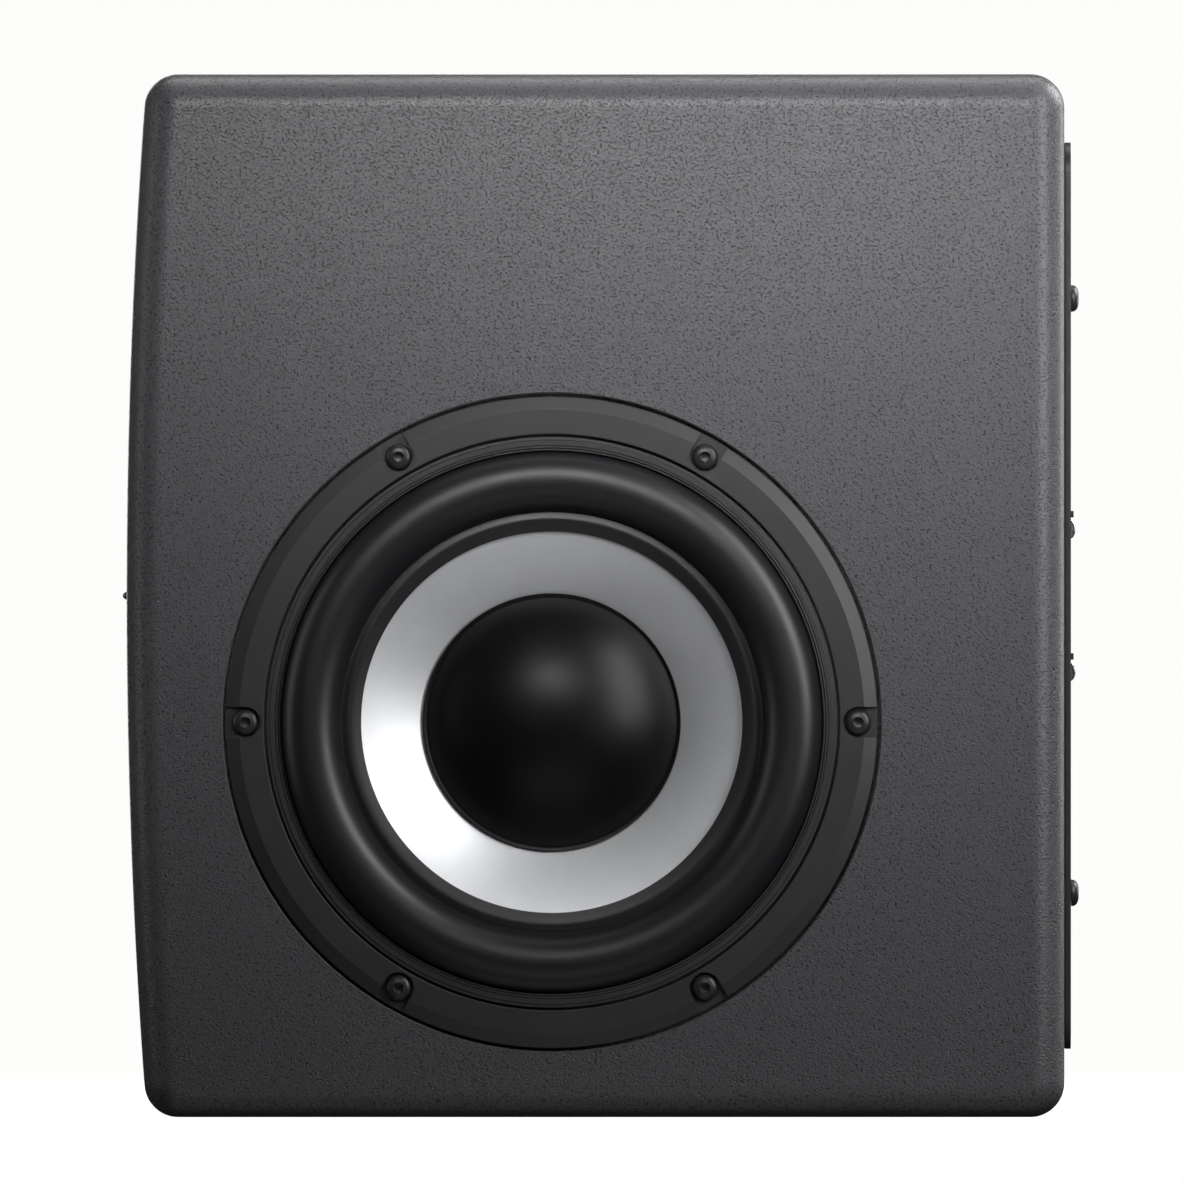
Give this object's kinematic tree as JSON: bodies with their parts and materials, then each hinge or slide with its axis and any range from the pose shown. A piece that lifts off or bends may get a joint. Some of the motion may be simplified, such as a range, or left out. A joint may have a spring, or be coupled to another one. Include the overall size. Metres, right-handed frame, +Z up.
{
  "type": "subwoofer",
  "caption": "Compact powered subwoofer: a charcoal textured box with a bowed front, a side-firing driver with a silver cone, and a rear amplifier plate.",
  "frame": {"origin": "centre of the bounding box, at the level of the flat bottom it stands on", "axes": "+Z up; +X out of the side that carries the driver; -Y out of the bowed front; +Y out of the amplifier plate"},
  "size_m": [0.2459, 0.2762, 0.3],
  "materials": {
    "cabinet_paint": "fine speckled textured paint, satin, charcoal grey",
    "bare_board": "bare fibre board",
    "frame_paint": "fine black powder coat on a die casting",
    "surround_rubber": "smooth moulded rubber, low sheen",
    "silver_cone": "satin anodised, faint fine grain",
    "cap_black": "smooth black, soft sheen",
    "former_film": "amber polyimide film",
    "copper": "enamelled copper winding",
    "spider_cloth": "resin-dipped cotton cloth",
    "plated_steel": "zinc plated",
    "ferrite": "ground ferrite",
    "gasket_foam": "closed-cell foam",
    "screw_black": "black oxide",
    "plate_black": "black powder coat",
    "socket_plastic": "moulded black plastic",
    "bright_metal": "nickel plated",
    "circuit_board": "solder resist on laminate",
    "aluminium": "bare extrusion",
    "capacitor_sleeve": "shrink sleeve",
    "lens": "clear green-tinted dome",
    "lead_insulation": "red wire insulation"
  },
  "bodies": {
    "cabinet": {"amp_board": "circuit_board", "amp_plate": "plate_black", "audio_socket_1": "socket_plastic", "audio_socket_2": "socket_plastic", "back_panel": "cabinet_paint", "bottom_panel": "cabinet_paint", "capacitor_1": "capacitor_sleeve", "capacitor_2": "capacitor_sleeve", "driver_lead": "lead_insulation", "front_baffle": "cabinet_paint", "heat_spreader": "aluminium", "inlet_pin_1": "bright_metal", "inlet_pin_2": "bright_metal", "inlet_pin_3": "bright_metal", "left_side_panel": "cabinet_paint", "light_board": "circuit_board", "magnet": "ferrite", "mains_inlet": "socket_plastic", "plate_screw_1": "screw_black", "plate_screw_2": "screw_black", "plate_screw_3": "screw_black", "plate_screw_4": "screw_black", "pole_yoke": "plated_steel", "right_side_panel": "cabinet_paint", "shelf_brace": "bare_board", "spider": "spider_cloth", "status_lens": "lens", "switch_bezel": "socket_plastic", "terminal_strip": "circuit_board", "tinsel_lead_1": "copper", "tinsel_lead_2": "copper", "top_panel": "cabinet_paint", "top_plate": "plated_steel", "transformer": "copper", "woofer_frame": "frame_paint", "woofer_gasket": "gasket_foam", "woofer_screw_1": "screw_black", "woofer_screw_2": "screw_black", "woofer_screw_3": "screw_black", "woofer_screw_4": "screw_black", "woofer_screw_5": "screw_black", "woofer_screw_6": "screw_black", "woofer_surround": "surround_rubber", "woofer_trim_ring": "frame_paint"},
    "woofer_cone_assembly": {"woofer_cone": "silver_cone", "dust_cap": "cap_black", "coil_former": "former_film", "voice_coil": "copper"},
    "release_lever_1": {"release_lever_1": "bright_metal"},
    "release_lever_2": {"release_lever_2": "bright_metal"},
    "power_rocker": {"power_rocker": "socket_plastic"},
    "level_knob": {"level_knob": "socket_plastic"},
    "crossover_knob": {"crossover_knob": "socket_plastic"},
    "phase_button": {"phase_button": "socket_plastic"}
  },
  "joints": [
    {"name": "woofer_travel", "type": "slide", "parent": "cabinet", "child": "woofer_cone_assembly", "axis": [1, 0, 0], "range_m": [-0.005, 0.005], "stiffness_N_per_m": 2400, "deforming": ["woofer_surround", "spider", "tinsel_lead_1", "tinsel_lead_2"]},
    {"name": "release_lever_1_press", "type": "slide", "parent": "cabinet", "child": "release_lever_1", "axis": [0, -1, 0], "range_m": [0, 0.0012], "stiffness_N_per_m": 1200},
    {"name": "release_lever_2_press", "type": "slide", "parent": "cabinet", "child": "release_lever_2", "axis": [0, -1, 0], "range_m": [0, 0.0012], "stiffness_N_per_m": 1200},
    {"name": "power_rocker_tilt", "type": "hinge", "parent": "cabinet", "child": "power_rocker", "pos_m": [0.00205, 0.13387, 0.062], "axis": [1, 0, 0], "range_deg": [-12, 0]},
    {"name": "level_knob_turn", "type": "hinge", "parent": "cabinet", "child": "level_knob", "pos_m": [0.04205, 0.13578, 0.232], "axis": [0, 1, 0], "range_deg": [-135, 135]},
    {"name": "crossover_knob_turn", "type": "hinge", "parent": "cabinet", "child": "crossover_knob", "pos_m": [0.00205, 0.13578, 0.232], "axis": [0, 1, 0], "range_deg": [-135, 135]},
    {"name": "phase_button_press", "type": "slide", "parent": "cabinet", "child": "phase_button", "axis": [0, -1, 0], "range_m": [0, 0.0015], "stiffness_N_per_m": 400}
  ]
}
